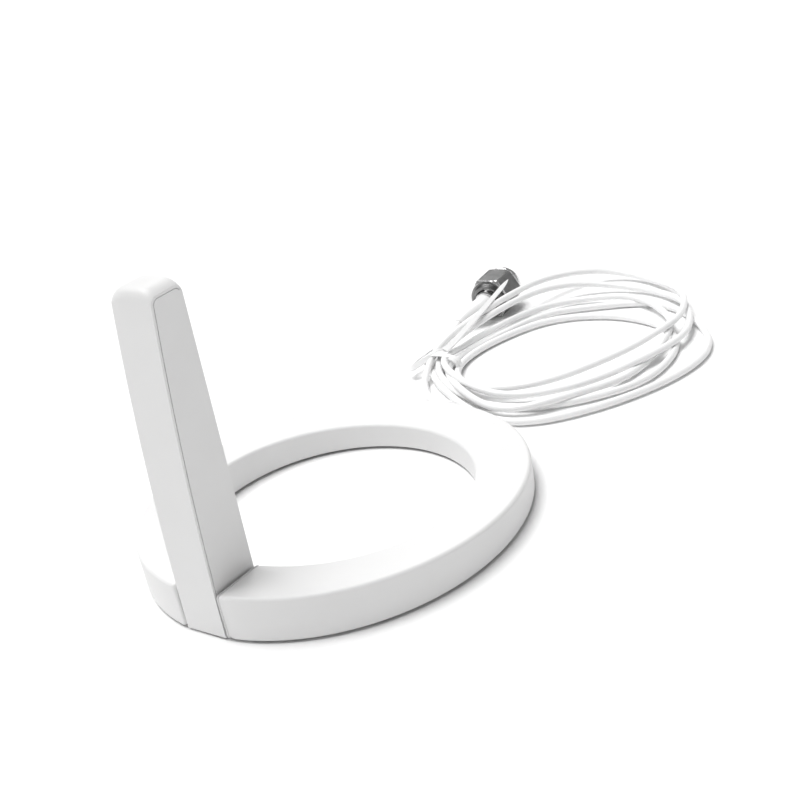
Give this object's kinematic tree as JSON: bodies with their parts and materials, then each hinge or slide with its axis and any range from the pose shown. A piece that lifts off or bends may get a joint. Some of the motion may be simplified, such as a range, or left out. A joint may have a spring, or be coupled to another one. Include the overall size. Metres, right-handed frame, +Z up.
{
  "type": "ring base tv antenna",
  "caption": "Desk-top indoor TV antenna: slim upright mast hinged in a low open ring base, with a coiled coax lead and a screw-on plug.",
  "frame": {"origin": "on the table, under the centre of the ring base and mast", "axes": "+Z up; +Y from the mast towards the cable exit; +X to the right of a viewer who looks along +Y"},
  "size_m": [0.089, 0.1811, 0.0674],
  "materials": {
    "white_plastic": "fine-grained matte white ABS",
    "cover_plastic": "plain matte off-white ABS",
    "rubber": "soft white rubber",
    "steel": "zinc-plated",
    "ballast_steel": "plain stamped steel",
    "brass": "turned brass",
    "acetal": "smooth moulded acetal",
    "copper": "bare copper",
    "board": "green solder mask on glass-fibre laminate",
    "chip": "black moulded component",
    "cord_white": "smooth soft white PVC",
    "dark_nickel": "satin nickel plating",
    "bright_nickel": "bright nickel plating",
    "dielectric": "white cable dielectric"
  },
  "bodies": {
    "base": {"base_top_shell": "white_plastic", "base_bottom_cover": "cover_plastic", "ballast_plate_left": "ballast_steel", "ballast_plate_right": "ballast_steel", "cover_screw_1": "steel", "cover_screw_2": "steel", "cover_screw_3": "steel", "cover_screw_4": "steel", "foot_pad_1": "rubber", "foot_pad_2": "rubber", "foot_pad_3": "rubber", "foot_pad_4": "rubber", "hinge_axle": "steel", "hinge_bush": "brass", "friction_washer_left": "acetal", "friction_washer_right": "acetal", "cable_grommet": "rubber", "base_lead": "cord_white", "cable_clamp": "acetal", "clamp_screw": "steel", "cord_lead": "cord_white", "cord_coil": "cord_white", "cord_tail": "cord_white", "cord_tie": "cord_white", "plug_boot": "cord_white", "crimp_ferrule": "bright_nickel", "plug_body": "bright_nickel", "plug_insulator": "dielectric", "centre_pin": "copper"},
    "mast": {"mast_body": "white_plastic", "mast_front_cover": "white_plastic", "antenna_board": "board", "radiator_upper": "copper", "radiator_lower": "copper", "balun": "chip", "board_screw_1": "steel", "board_screw_2": "steel", "mast_lead": "cord_white"},
    "nut": {"coupling_nut": "dark_nickel"}
  },
  "joints": [
    {"name": "mast_fold", "type": "hinge", "parent": "base", "child": "mast", "pos_m": [0, -0.0369, 0.005], "axis": [-1, 0, 0], "range_deg": [0, 88]},
    {"name": "nut_spin", "type": "hinge", "parent": "base", "child": "nut", "pos_m": [-0.0219, 0.1037, 0.0055], "axis": [-0.108, 0.9941, 0], "continuous": true}
  ]
}
